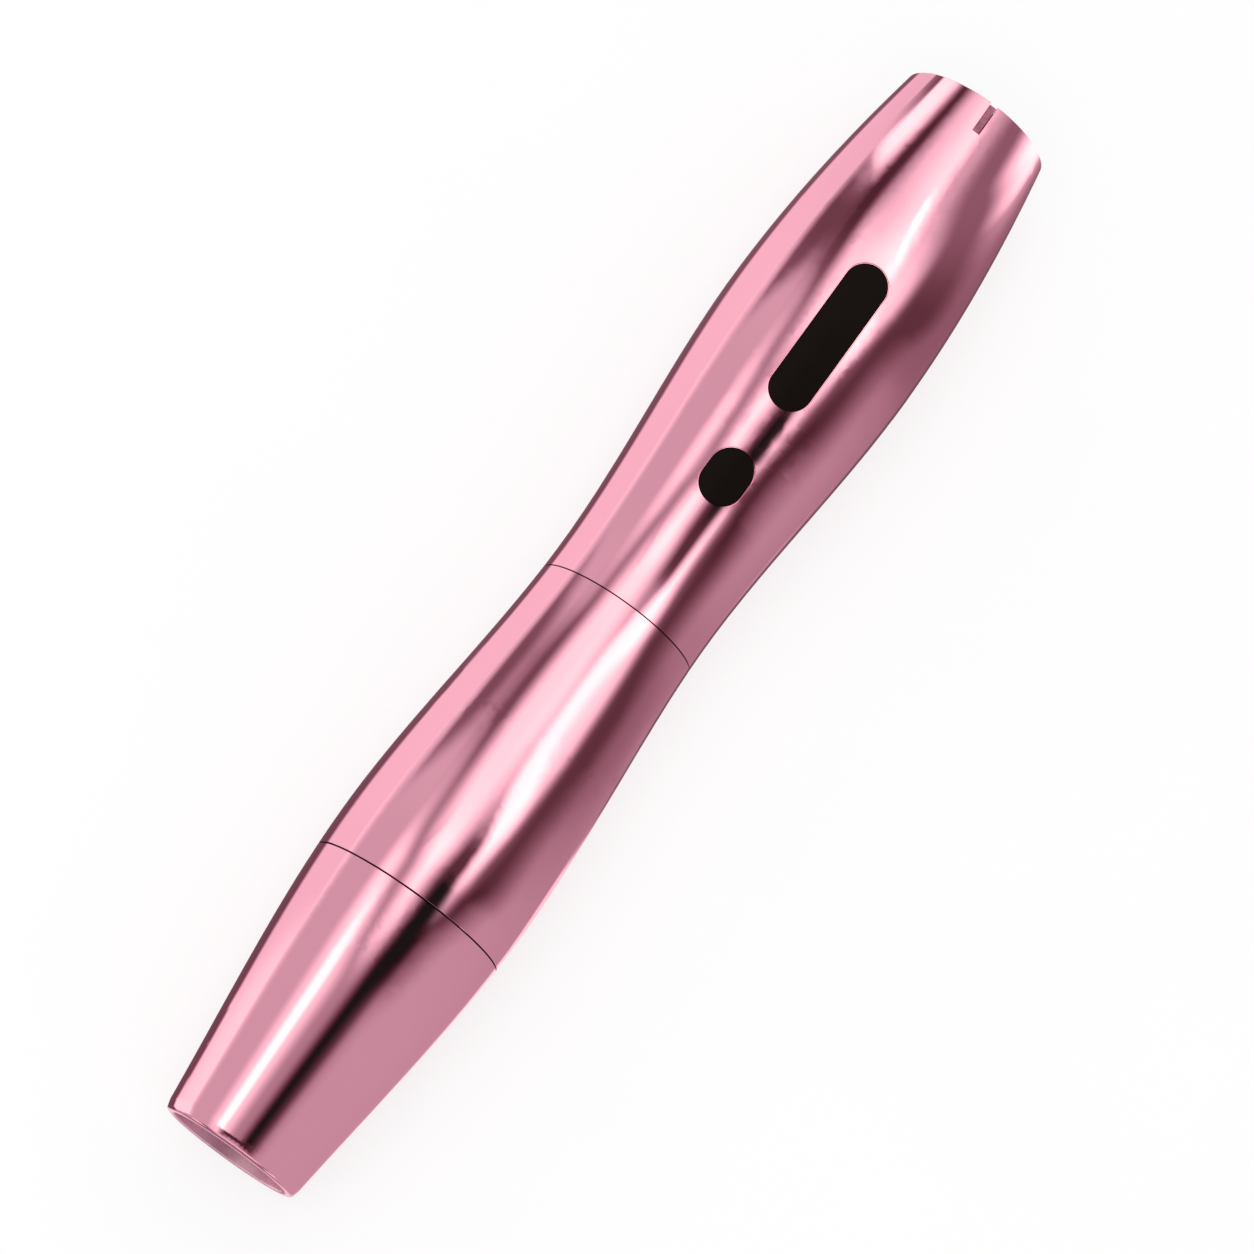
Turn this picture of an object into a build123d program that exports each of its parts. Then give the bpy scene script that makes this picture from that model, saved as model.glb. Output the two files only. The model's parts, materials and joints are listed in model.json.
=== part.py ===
from build123d import *
import math
import os

# A pen-shaped wireless rotary tattoo machine that lies along X, needle end at -X, display side up.
# Stations are counted in millimetres along the pen from the rim of the nose.

# Outside of the pen
overall_length = 145.0
lip_width = 0.95
lip_round = 0.45
mouth_round = 0.2
rim_band_length = 1.25
rim_bend_share = 0.8
nose_wall = 1.28
nose_slope_share = 0.112
front_belly_wall = 1.95
front_belly_share = 0.2693
waist_wall = 1.04
waist_share = 0.5269
rear_belly_share = 0.7821
tail_wall = 1.08
tail_slope_share = -0.173
front_seam_share = 0.2276
rear_seam_share = 0.5034

# Fits and edges
running_gap = 0.05
seam_gap = 0.1
end_gap = 0.35
edge_break = 0.06
window_gap = 0.03
rebate = 0.1
overrun = 1.0
shell_wall = 1.0

# Needle tube and depth adjuster
cartridge_radius = 5.6
tube_wall = 1.7
tube_recess = 4.5
socket_depth = 11.0
shoulder_step = 0.6
grip_ring_section = 1.2
grip_ring_inset = 2.0
adjust_travel = 3.5
adjust_turn_degrees = 360.0
adjuster_pin_radius = 0.6
adjuster_pin_inset = 1.5
adjuster_wall = 0.65
thread_depth = 0.9
thread_margin_degrees = 20.0
adjuster_front_margin = 2.5

# Front housing
spigot_wall = 1.25
spigot_reach = 16.0
spigot_ring_section = 0.9
clip_thickness = 1.0
clip_depth = 0.4
clip_stand = 1.0
clip_opening = 6.0
flange_length = 3.0
flange_lip = 0.2
flange_step = 1.0
bulkhead_inset = 0.6
bulkhead_thickness = 3.0
housing_wall = 1.2

# Needle drive
stroke = 3.5
plunger_radius = 1.5
plunger_flat = 1.1
plunger_lead = 1.5
bush_radius = 4.0
bush_reach = 4.5
foot_thickness = 2.0
foot_hub_radius = 2.4
foot_arm_width = 3.2
follower_radius = 4.0
follower_pin_radius = 0.9
follower_reach = 2.4
follower_opening = 0.7
swash_rest_degrees = 45.0
bearing_outer = 5.5
bearing_bore = 2.5
bearing_width = 3.0
bearing_groove = 0.3
hub_radius = 3.3
set_screw_radius = 0.7

# Motor
mount_thickness = 2.5
motor_wall = 0.6
motor_plate = 2.0
motor_cap = 1.6
motor_boss_radius = 3.0
motor_boss_height = 1.2
shaft_radius = 1.0
shaft_bearing_radius = 2.5
shaft_bearing_width = 1.5
rotor_radius = 4.0
rotor_share = 0.72
air_gap = 0.5
stator_share = 0.84
screw_circle_radius = 5.5
screw_radius = 1.0
screw_head_radius = 1.9
screw_head_height = 1.2

# Coupling sleeve between the middle and the tail
sleeve_reach = 6.0
sleeve_wall = 0.8

# Battery pack and its tube
cell_radius = 7.0
charging_bay = 4.0
nub_radius = 2.5
nub_height = 1.0
pack_sleeve_wall = 0.35
pack_gap = 0.1
battery_tube_wall = 0.4
contact_disc_thickness = 0.8
charging_board_thickness = 0.8
plug_depth = 4.0
plug_set_back = 0.45
plug_step_height = 0.75
plug_chamfer = 0.3
tube_flange_height = 0.4
tube_flange_length = 1.5
pack_ring_section = 0.7

# Notch in the tail rim
notch_width = 0.97
notch_length = 4.25
key_gap = 0.06
key_height = 0.45

# Charging port
port_width = 8.94
port_height = 3.2
port_wall = 0.3
port_tongue_width = 6.7
port_tongue_height = 0.7
port_tongue_set_back = 1.0

# Electronics
board_margin = 0.3
carrier_floor = 0.8
carrier_block = 2.8
boss_length = 1.0
contact_reach = 1.0
carrier_gap = 0.17
board_thickness = 0.8
main_board_width = 8.0
display_board_width = 6.0
display_board_margin = 2.0
ribbon_thickness = 0.15
ribbon_width = 3.0
ribbon_lap = 1.0
contact_pin_radius = 0.9
contact_tip_radius = 0.5
contact_offset = 4.5
board_screw_radius = 0.7
board_screw_head_radius = 1.2
board_screw_head_height = 0.6
board_screw_length = 1.1
board_screw_share = 0.3
board_screw_offset = 2.0
chip_station_share = 0.72
chip_side_share = 0.33
chip_height = 0.7

# Display
display_station_share = 0.7626
display_length = 19.75
display_width = 5.2
window_thickness = 1.2
module_thickness = 1.0
holder_height = 2.05
holder_rim = 0.7

# Power button
button_station_share = 0.6279
button_length = 6.9
button_width = 5.25
button_gap = 0.08
button_top = 0.8
button_travel = 0.4
button_lip = 0.5
switch_side = 3.4
switch_body = 1.1
switch_knob_radius = 0.8

# Radii that follow from what the pen holds, from the needle tube outwards and from the cell outwards
tube_radius = cartridge_radius + tube_wall
mouth_radius = tube_radius + running_gap
rim_radius = mouth_radius + lip_width
nose_radius = mouth_radius + nose_wall
spigot_radius = mouth_radius + spigot_wall
adjuster_bore = spigot_radius + running_gap
thread_radius = adjuster_bore + thread_depth
adjuster_radius = thread_radius + adjuster_wall
flange_radius = adjuster_radius + flange_lip
housing_radius = flange_radius - flange_step
pack_radius = cell_radius + running_gap + pack_sleeve_wall
battery_bore = pack_radius + pack_gap
battery_tube_radius = battery_bore + battery_tube_wall
motor_radius = battery_tube_radius + pack_gap
sleeve_bore = motor_radius + pack_gap
sleeve_radius = sleeve_bore + sleeve_wall
waist_radius = sleeve_radius + waist_wall
main_board_height = battery_tube_radius - board_thickness
carrier_bore = main_board_height - carrier_floor
display_board_low = battery_tube_radius + 2 * pack_gap
display_board_top = display_board_low + board_thickness
belly_radius = max(adjuster_radius + front_belly_wall, display_board_top + holder_height + window_thickness)
plug_radius = pack_radius + plug_step_height
plug_bore = plug_radius + running_gap
tube_flange_radius = plug_bore + tube_flange_height
tail_radius = plug_radius + tail_wall

# Places that follow from the sizes above
axis_height = belly_radius
nose_x = -overall_length / 2
front_seam = front_seam_share * overall_length
rear_seam = rear_seam_share * overall_length
pen_axis = Axis((0, 0, axis_height), (1, 0, 0))
side = Plane(origin=(nose_x, 0, axis_height), x_dir=(1, 0, 0), z_dir=(0, -1, 0))
underside = Plane(origin=(nose_x, 0, axis_height), x_dir=(1, 0, 0), z_dir=(0, 1, 0))

skin_knots = (
    (rim_band_length, nose_radius, nose_slope_share),
    (front_belly_share * overall_length, belly_radius, 0),
    (waist_share * overall_length, waist_radius, 0),
    (rear_belly_share * overall_length, belly_radius, 0),
    (overall_length, tail_radius, tail_slope_share),
)


def across(station):
    """The cross plane at a station: local x runs along +Y and local y up."""
    return Plane(origin=(nose_x + station, 0, axis_height), x_dir=(0, 1, 0), z_dir=(1, 0, 0))


def deck(height):
    """The level plane at a height above the pen's axis: local x is the station and local y runs along +Y."""
    return Plane(origin=(nose_x, 0, axis_height + height))


def skin_radius(station):
    """The outer radius at a station behind the nose band: the same cubic that the skin is drawn with."""
    for (s0, r0, m0), (s1, r1, m1) in zip(skin_knots, skin_knots[1:]):
        if s0 <= station <= s1:
            t = (station - s0) / (s1 - s0)
            steep = (s1 - s0) * (m0 * t * (1 - t) ** 2 - m1 * t**2 * (1 - t))
            return r0 + (r1 - r0) * t**2 * (3 - 2 * t) + steep
    return rim_radius


def turned_skin(inset):
    """The whole pen as one turned solid, with its skin moved in by an inset."""
    with BuildPart() as form:
        with BuildSketch(underside):
            with BuildLine():
                start, end = skin_knots[0], skin_knots[-1]
                bend = rim_bend_share * start[0]
                bend_pull = start[1] - start[2] * (start[0] - bend) - inset
                Bezier((0, rim_radius - inset), (bend, bend_pull), (start[0], start[1] - inset))
                for (s0, r0, m0), (s1, r1, m1) in zip(skin_knots, skin_knots[1:]):
                    third = (s1 - s0) / 3
                    pull, push = r0 + m0 * third - inset, r1 - m1 * third - inset
                    Bezier((s0, r0 - inset), (s0 + third, pull), (s1 - third, push), (s1, r1 - inset))
                Polyline((end[0], end[1] - inset), (end[0], 0), (0, 0), (0, rim_radius - inset))
            make_face()
        revolve(axis=pen_axis)
    return form.part


def disc(start, end, radius, mode=Mode.ADD):
    """A round slice of the pen between two stations, added to or cut from the piece being built."""
    with BuildSketch(across(start)) as section:
        Circle(radius)
    extrude(section.sketch, amount=end - start, mode=mode)


def rod(station, y, z, radius, length, mode=Mode.ADD):
    """A round bar along the pen that starts at a station, beside the axis."""
    with BuildSketch(across(station)) as section:
        with Locations((y, z)):
            Circle(radius)
    extrude(section.sketch, amount=length, mode=mode)


def block(start, end, width, low, high, mode=Mode.ADD):
    """A box between two stations and two heights above the axis, centred across the pen."""
    with BuildSketch(deck(low)) as section:
        with Locations(((start + end) / 2, 0)):
            Rectangle(end - start, width)
    extrude(section.sketch, amount=high - low, mode=mode)


def oblong(station, length, width, low, high, mode=Mode.ADD):
    """A round-ended block, long way along the pen, between two heights above the axis."""
    with BuildSketch(deck(low)) as section:
        with Locations((station, 0)):
            SlotOverall(length, width)
    extrude(section.sketch, amount=high - low, mode=mode)


def ring(station, centre_radius, section_radius):
    """A rubber ring of round section about the pen's axis."""
    with BuildSketch(side) as section:
        with Locations((station, centre_radius)):
            Circle(section_radius)
    revolve(section.sketch, axis=pen_axis)


def front_circles(part):
    """The circular edges nearest the needle end, the smallest first."""
    return part.edges().filter_by(GeomType.CIRCLE).group_by(Axis.X)[0].sort_by(SortBy.RADIUS)


def break_corner(station, radius):
    """Break the turned corner of the piece being built at a station and radius."""
    with BuildSketch(side) as section:
        with Locations((station, radius)):
            Rectangle(edge_break * math.sqrt(2), edge_break * math.sqrt(2), rotation=45)
    revolve(section.sketch, axis=pen_axis, mode=Mode.SUBTRACT)


def save(part, label):
    part.label = label
    export_step(part, os.path.join("parts", label + ".step"))


os.makedirs("parts", exist_ok=True)
outer_form = turned_skin(0)
inner_form = turned_skin(shell_wall)

# Stations of the adjuster, worked back from the front seam
bulkhead_front = front_seam - bulkhead_inset
tube_rear = bulkhead_front - end_gap
pin_station = tube_rear - adjuster_pin_inset
adjuster_front = pin_station - adjust_travel - adjuster_front_margin
clip_front = adjuster_front - seam_gap - clip_thickness
clip_bore_front = clip_front - end_gap
spigot_front = front_seam - spigot_reach
spigot_ring_station = (spigot_front + clip_bore_front) / 2
guide_end = spigot_front - end_gap - adjust_travel
cavity_radius = spigot_radius + 2 * running_gap

# Nose grip: the turning front cone with the needle mouth
with BuildPart() as nose_grip:
    disc(0, front_seam, axis_height + overrun)
    add(outer_form, mode=Mode.INTERSECT)
    disc(-overrun, guide_end + overrun, mouth_radius, Mode.SUBTRACT)
    disc(guide_end, clip_bore_front, cavity_radius, Mode.SUBTRACT)
    disc(clip_bore_front, front_seam + overrun, adjuster_radius, Mode.SUBTRACT)
    break_corner(front_seam, skin_radius(front_seam))
    fillet(front_circles(nose_grip)[-1], lip_round)
    fillet(front_circles(nose_grip)[0], mouth_round)
save(nose_grip.part, "nose_grip")

# Adjuster ring: fixed in the grip, with the helical groove that carries the needle tube's pin
lead = adjust_travel * 360 / adjust_turn_degrees
groove_degrees = adjust_turn_degrees + 2 * thread_margin_degrees
groove_height = lead * groove_degrees / 360
groove_start = pin_station - adjust_travel - lead * thread_margin_degrees / 360
groove_width = 2 * (adjuster_pin_radius + running_gap)
turn_centre = across(groove_start).origin
with BuildPart() as adjuster_ring:
    disc(adjuster_front, front_seam, adjuster_radius)
    disc(adjuster_front - overrun, front_seam + overrun, adjuster_bore, Mode.SUBTRACT)
    with BuildLine():
        turn = Helix(lead, groove_height, adjuster_bore, center=turn_centre, direction=pen_axis.direction)
    with BuildSketch(Plane(origin=turn @ 0, x_dir=turn @ 0 - turn_centre, z_dir=turn % 0)):
        Rectangle(2 * thread_depth, groove_width)
    sweep(path=turn, is_frenet=True, mode=Mode.SUBTRACT)
start_arm = turn @ 0 - turn_centre
groove_angle = math.degrees(math.atan2(start_arm.Z, start_arm.Y))
wanted_angle = 90 - adjust_turn_degrees - thread_margin_degrees
adjuster_part = adjuster_ring.part.rotate(pen_axis, wanted_angle - groove_angle)
save(adjuster_part, "adjuster_ring")

# Needle tube: the sliding sleeve that takes a needle cartridge
socket_end = tube_recess + socket_depth
grip_ring_station = tube_recess + grip_ring_inset + grip_ring_section / 2
grip_ring_centre = cartridge_radius + running_gap + grip_ring_section / 2
grip_ring_slot = grip_ring_section / 2 + running_gap
with BuildPart() as needle_tube:
    disc(tube_recess, tube_rear, tube_radius)
    disc(tube_recess - overrun, socket_end, cartridge_radius, Mode.SUBTRACT)
    disc(socket_end, tube_rear + overrun, cartridge_radius - shoulder_step, Mode.SUBTRACT)
    slot_front = grip_ring_station - grip_ring_slot
    slot_rear = grip_ring_station + grip_ring_slot
    disc(slot_front, slot_rear, grip_ring_centre + grip_ring_slot, Mode.SUBTRACT)
    with BuildSketch(Plane(origin=(nose_x + pin_station, 0, axis_height))):
        Circle(adjuster_pin_radius)
    extrude(amount=tube_radius + overrun, mode=Mode.SUBTRACT)
    chamfer(front_circles(needle_tube)[0], grip_ring_section / 4)
save(needle_tube.part, "needle_tube")

# Adjuster pin: pressed in the tube, it runs in the housing's slot and in the helical groove
with BuildPart() as adjuster_pin:
    pin_foot = cartridge_radius
    with BuildSketch(Plane(origin=(nose_x + pin_station, 0, axis_height + pin_foot))):
        Circle(adjuster_pin_radius)
    extrude(amount=thread_radius - running_gap - pin_foot)
save(adjuster_pin.part, "adjuster_pin")

# Rubber ring that holds the cartridge in the tube
with BuildPart() as cartridge_ring:
    ring(grip_ring_station, grip_ring_centre, grip_ring_section / 2)
save(cartridge_ring.part, "cartridge_ring")

# Stations of the needle drive, worked back from the housing's bulkhead
middle_front = front_seam + seam_gap
bulkhead_rear = bulkhead_front + bulkhead_thickness
foot_front = bulkhead_rear + end_gap
foot_rear = foot_front + foot_thickness
follower_tip = foot_rear + follower_reach
swash_rise = stroke / 2
swash_tilt = math.atan(swash_rise / follower_radius)
swash_face = follower_tip + stroke - swash_rise + follower_opening
swash_middle = swash_face + bearing_width / 2 / math.cos(swash_tilt)
swash_swing = bearing_width / 2 * math.cos(swash_tilt) + bearing_outer * math.sin(swash_tilt)
hub_rear = swash_middle + swash_swing
mount_front = hub_rear + end_gap
housing_cavity = housing_radius - housing_wall

# Front housing: the spigot that the grip turns on, the bulkhead of the bush and the drive's chamber
with BuildPart() as front_housing:
    disc(spigot_front, middle_front, spigot_radius)
    disc(middle_front, middle_front + flange_length, flange_radius)
    disc(middle_front + flange_length, mount_front, housing_radius)
    disc(spigot_front - overrun, bulkhead_front, mouth_radius, Mode.SUBTRACT)
    disc(bulkhead_front - overrun, bulkhead_rear + overrun, bush_radius, Mode.SUBTRACT)
    disc(bulkhead_rear, mount_front + overrun, housing_cavity, Mode.SUBTRACT)
    pin_slot_half = adjuster_pin_radius + running_gap
    slot_low, slot_high = mouth_radius - overrun, spigot_radius + overrun
    slot_front = pin_station - adjust_travel - pin_slot_half
    slot_rear = pin_station + pin_slot_half
    block(slot_front, slot_rear, 2 * pin_slot_half, slot_low, slot_high, Mode.SUBTRACT)
    with BuildSketch(side):
        with Locations((spigot_ring_station, spigot_radius)):
            Rectangle(spigot_ring_section + 2 * running_gap, 2 * spigot_ring_section)
        with Locations((clip_front + clip_thickness / 2, spigot_radius)):
            Rectangle(clip_thickness, 2 * clip_depth)
    revolve(axis=pen_axis, mode=Mode.SUBTRACT)
save(front_housing.part, "front_housing")

# Snap clip that keeps the grip on the spigot
with BuildPart() as grip_clip:
    disc(clip_front, clip_front + clip_thickness, spigot_radius + clip_stand)
    disc(clip_front - overrun, adjuster_front, spigot_radius - clip_depth, Mode.SUBTRACT)
    block(clip_front - overrun, adjuster_front, clip_opening, -flange_radius, 0, Mode.SUBTRACT)
save(grip_clip.part, "grip_clip")

# Rubber ring between the spigot and the grip, which gives the adjuster its drag
with BuildPart() as spigot_ring:
    ring_centre = cavity_radius - running_gap - spigot_ring_section / 2
    ring(spigot_ring_station, ring_centre, spigot_ring_section / 2)
save(spigot_ring.part, "spigot_ring")

# Bush that guides the plunger, with a flat that keeps it from turning
bush_front = bulkhead_rear - bulkhead_thickness - bush_reach
with BuildPart() as plunger_bush:
    disc(bush_front, bulkhead_rear, bush_radius)
    with BuildSketch(across(bush_front)):
        Circle(plunger_radius + running_gap)
        with Locations((0, -plunger_flat - running_gap - plunger_radius)):
            Rectangle(4 * plunger_radius, 2 * plunger_radius, mode=Mode.SUBTRACT)
    extrude(amount=bush_reach + bulkhead_thickness, mode=Mode.SUBTRACT)
save(plunger_bush.part, "plunger_bush")

# Plunger: the rod that pushes the cartridge's needle, shown at the front end of its stroke
plunger_front = socket_end + plunger_lead
with BuildPart() as plunger:
    with BuildSketch(across(plunger_front)):
        Circle(plunger_radius)
        with Locations((0, -plunger_flat - plunger_radius)):
            Rectangle(4 * plunger_radius, 2 * plunger_radius, mode=Mode.SUBTRACT)
    extrude(amount=foot_front - plunger_front)
    tip_edges = plunger.edges().group_by(Axis.X)[0]
    chamfer(tip_edges, plunger_radius / 5)
save(plunger.part, "plunger")

# Plunger foot: the hub and the arm that carry the follower
with BuildPart() as plunger_foot:
    with BuildSketch(across(foot_front)):
        Circle(foot_hub_radius)
        with Locations((0, follower_radius / 2)):
            Rectangle(foot_arm_width, follower_radius)
        with Locations((0, follower_radius)):
            Circle(foot_arm_width / 2)
    extrude(amount=foot_thickness)
    rod(foot_front, 0, follower_radius, follower_pin_radius, foot_thickness, Mode.SUBTRACT)
save(plunger_foot.part, "plunger_foot")

# Follower: the round-ended pin that rides on the tilted bearing
with BuildPart() as follower:
    dome_station = follower_tip - follower_pin_radius
    rod(foot_front, 0, follower_radius, follower_pin_radius, dome_station - foot_front)
    with Locations((nose_x + dome_station, 0, axis_height + follower_radius)):
        Sphere(follower_pin_radius)
save(follower.part, "follower")

# The tilted plane of the swash bearing: its far side faces the follower at rest, less the rest angle
low_y = math.sin(math.radians(swash_rest_degrees))
low_z = math.cos(math.radians(swash_rest_degrees))
swash_lean = math.sin(swash_tilt)
swash_normal = (math.cos(swash_tilt), -swash_lean * low_y, -swash_lean * low_z)
swash_plane = Plane(origin=across(swash_middle).origin, z_dir=swash_normal)
motor_front = mount_front + mount_thickness
motor_rear = rear_seam - end_gap

# Swash bearing: the ball bearing on the tilted seat that pushes the follower once a turn
with BuildPart() as swash_bearing:
    with BuildSketch(swash_plane):
        Circle(bearing_outer)
        Circle(bearing_bore, mode=Mode.SUBTRACT)
    extrude(amount=bearing_width / 2, both=True)
    with BuildSketch(swash_plane.offset(bearing_width / 2 - bearing_groove)):
        Circle(bearing_outer - bearing_width / 3)
        Circle(bearing_bore + bearing_width / 3, mode=Mode.SUBTRACT)
    extrude(amount=bearing_width, mode=Mode.SUBTRACT)
    with BuildSketch(swash_plane.offset(bearing_groove - bearing_width / 2)):
        Circle(bearing_outer - bearing_width / 3)
        Circle(bearing_bore + bearing_width / 3, mode=Mode.SUBTRACT)
    extrude(amount=-bearing_width, mode=Mode.SUBTRACT)
save(swash_bearing.part, "swash_bearing")

# Swash hub: fixed on the motor shaft, with the tilted seat of the bearing
shaft_front = swash_middle - bearing_width / 2
set_screw_station = hub_rear - set_screw_radius - end_gap
with BuildPart() as swash_hub:
    disc(swash_middle, hub_rear, hub_radius)
    with BuildSketch(swash_plane.offset(bearing_width / 2)):
        Circle(2 * bearing_outer)
    extrude(amount=-2 * bearing_outer, mode=Mode.SUBTRACT)
    with BuildSketch(swash_plane):
        Circle(bearing_bore)
    extrude(amount=bearing_width / 2, both=True)
    disc(shaft_front, hub_rear + overrun, shaft_radius, Mode.SUBTRACT)
    screw_arm = Vector(0, -low_y, -low_z)
    with BuildSketch(Plane(origin=across(set_screw_station).origin, z_dir=screw_arm)):
        Circle(set_screw_radius)
    extrude(amount=2 * hub_radius, mode=Mode.SUBTRACT)
save(swash_hub.part, "swash_hub")

# Set screw of the hub
with BuildPart() as hub_screw:
    screw_seat = across(set_screw_station).origin + screw_arm * shaft_radius
    with BuildSketch(Plane(origin=screw_seat, z_dir=screw_arm)):
        Circle(set_screw_radius)
    extrude(amount=hub_radius - shaft_radius - edge_break)
save(hub_screw.part, "hub_screw")

# Motor mount: the plate that the housing clamps against the middle's shoulder
with BuildPart() as motor_mount:
    disc(mount_front, motor_front, housing_radius)
    disc(mount_front - overrun, motor_front + overrun, motor_boss_radius, Mode.SUBTRACT)
    with BuildSketch(across(mount_front)):
        with PolarLocations(screw_circle_radius, 2):
            Circle(screw_head_radius)
    extrude(amount=screw_head_height, mode=Mode.SUBTRACT)
    with BuildSketch(across(mount_front)):
        with PolarLocations(screw_circle_radius, 2):
            Circle(screw_radius)
    extrude(amount=mount_thickness, mode=Mode.SUBTRACT)
save(motor_mount.part, "motor_mount")

# Two screws that hold the motor to its mount
with BuildPart() as motor_screws:
    with BuildSketch(across(mount_front)):
        with PolarLocations(screw_circle_radius, 2):
            Circle(screw_head_radius)
    extrude(amount=screw_head_height)
    with BuildSketch(across(mount_front + screw_head_height)):
        with PolarLocations(screw_circle_radius, 2):
            Circle(screw_radius)
    extrude(amount=mount_thickness - screw_head_height + motor_plate)
    with BuildSketch(across(mount_front)):
        with PolarLocations(screw_circle_radius, 2):
            RegularPolygon(screw_radius, 6)
    extrude(amount=screw_head_height / 2, mode=Mode.SUBTRACT)
save(motor_screws.part, "motor_screws")

# Motor can with its front plate and boss
motor_bore = motor_radius - motor_wall
plate_rear = motor_front + motor_plate
with BuildPart() as motor_can:
    disc(motor_front, motor_rear - motor_cap, motor_radius)
    disc(motor_front - motor_boss_height, motor_front, motor_boss_radius)
    disc(plate_rear, motor_rear, motor_bore, Mode.SUBTRACT)
    disc(mount_front, plate_rear + overrun, shaft_radius + end_gap, Mode.SUBTRACT)
    disc(plate_rear - shaft_bearing_width, plate_rear + overrun, shaft_bearing_radius, Mode.SUBTRACT)
    with BuildSketch(across(motor_front)):
        with PolarLocations(screw_circle_radius, 2):
            Circle(screw_radius)
    extrude(amount=motor_plate, mode=Mode.SUBTRACT)
save(motor_can.part, "motor_can")

# Motor end cap with the seat of the rear bearing
cap_front = motor_rear - motor_cap
rear_bearing_front = cap_front - shaft_bearing_width / 2
with BuildPart() as motor_end_cap:
    disc(cap_front, motor_rear, motor_radius)
    disc(cap_front - motor_cap, cap_front, motor_bore)
    disc(cap_front - 2 * motor_cap, rear_bearing_front, rotor_radius, Mode.SUBTRACT)
    disc(rear_bearing_front, rear_bearing_front + shaft_bearing_width, shaft_bearing_radius, Mode.SUBTRACT)
save(motor_end_cap.part, "motor_end_cap")

# The two ball bearings of the motor shaft
shaft_bore = shaft_radius + running_gap / 2
with BuildPart() as motor_bearings:
    for bearing_front in (plate_rear - shaft_bearing_width, rear_bearing_front):
        disc(bearing_front, bearing_front + shaft_bearing_width, shaft_bearing_radius)
        disc(bearing_front, bearing_front + shaft_bearing_width, shaft_bore, Mode.SUBTRACT)
save(motor_bearings.part, "motor_bearings")

# Stator winding inside the can
core_rear = cap_front - motor_cap
core_middle = (plate_rear + core_rear) / 2
stator_half = stator_share * (core_rear - plate_rear) / 2
rotor_half = rotor_share * (core_rear - plate_rear) / 2
with BuildPart() as motor_stator:
    disc(core_middle - stator_half, core_middle + stator_half, motor_bore)
    disc(plate_rear, cap_front, rotor_radius + air_gap, Mode.SUBTRACT)
save(motor_stator.part, "motor_stator")

# Rotor magnet on the shaft
with BuildPart() as rotor_magnet:
    disc(core_middle - rotor_half, core_middle + rotor_half, rotor_radius)
    disc(plate_rear, cap_front, shaft_radius, Mode.SUBTRACT)
save(rotor_magnet.part, "rotor_magnet")

# Motor shaft, from the hub to the rear bearing
with BuildPart() as motor_shaft:
    disc(shaft_front, rear_bearing_front + shaft_bearing_width - end_gap, shaft_radius)
save(motor_shaft.part, "motor_shaft")

# Stations of the tail, worked from the rear seam
sleeve_front = rear_seam - sleeve_reach
sleeve_rear = rear_seam + sleeve_reach

# Middle shell: the motor section's bare skin
with BuildPart() as middle_shell:
    disc(middle_front, rear_seam, axis_height + overrun)
    add(outer_form, mode=Mode.INTERSECT)
    disc(middle_front - overrun, middle_front + flange_length, flange_radius, Mode.SUBTRACT)
    disc(middle_front, motor_front, housing_radius, Mode.SUBTRACT)
    disc(mount_front, rear_seam + overrun, sleeve_bore, Mode.SUBTRACT)
    disc(sleeve_front, rear_seam + overrun, sleeve_radius, Mode.SUBTRACT)
    break_corner(middle_front, skin_radius(middle_front))
    break_corner(rear_seam, skin_radius(rear_seam))
save(middle_shell.part, "middle_shell")

# Coupling sleeve that joins the middle to the tail
with BuildPart() as coupling_sleeve:
    disc(sleeve_front, sleeve_rear, sleeve_radius)
    disc(sleeve_front - overrun, sleeve_rear + overrun, sleeve_bore, Mode.SUBTRACT)
save(coupling_sleeve.part, "coupling_sleeve")

# Stations and heights of the tail's inside
carrier_radius = skin_radius(sleeve_rear) - shell_wall - carrier_gap
button_station = button_station_share * overall_length
button_front = button_station - button_length / 2
button_rear = button_station + button_length / 2
boss_rear = button_rear + board_margin
carrier_rear = boss_rear - boss_length
board_front = sleeve_rear + end_gap
electronics_bay = button_front - board_front
board_screw_station = board_front + board_screw_share * electronics_bay
plug_rear = overall_length - plug_set_back
plug_step = plug_rear - plug_depth
plug_seat = plug_step - end_gap
tube_seat = plug_seat - tube_flange_length
pack_front = boss_rear + contact_reach
display_station = display_station_share * overall_length
display_front = display_station - display_length / 2
main_board_top = main_board_height + board_thickness
display_board_front = (boss_rear + display_front) / 2
display_board_rear = display_station + display_length / 2 + display_board_margin
window_low = skin_radius(display_station) - window_thickness
button_crown = skin_radius(button_station)
above_pen = 2 * axis_height

# Hollow of the tail between the sleeve and the seat of the battery tube
with BuildPart() as tail_hollow:
    disc(sleeve_rear, tube_seat, axis_height)
    add(inner_form, mode=Mode.INTERSECT)

# Fine rebates round the openings of the display and the button, as deep all along as they are wide
rebated = 2 * rebate
with BuildPart() as opening_rebates:
    oblong(display_station, display_length + rebated, display_width + rebated, display_board_top, above_pen)
    oblong(button_station, button_length + rebated, button_width + rebated, main_board_top, above_pen)
    add(turned_skin(rebate), mode=Mode.SUBTRACT)

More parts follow.
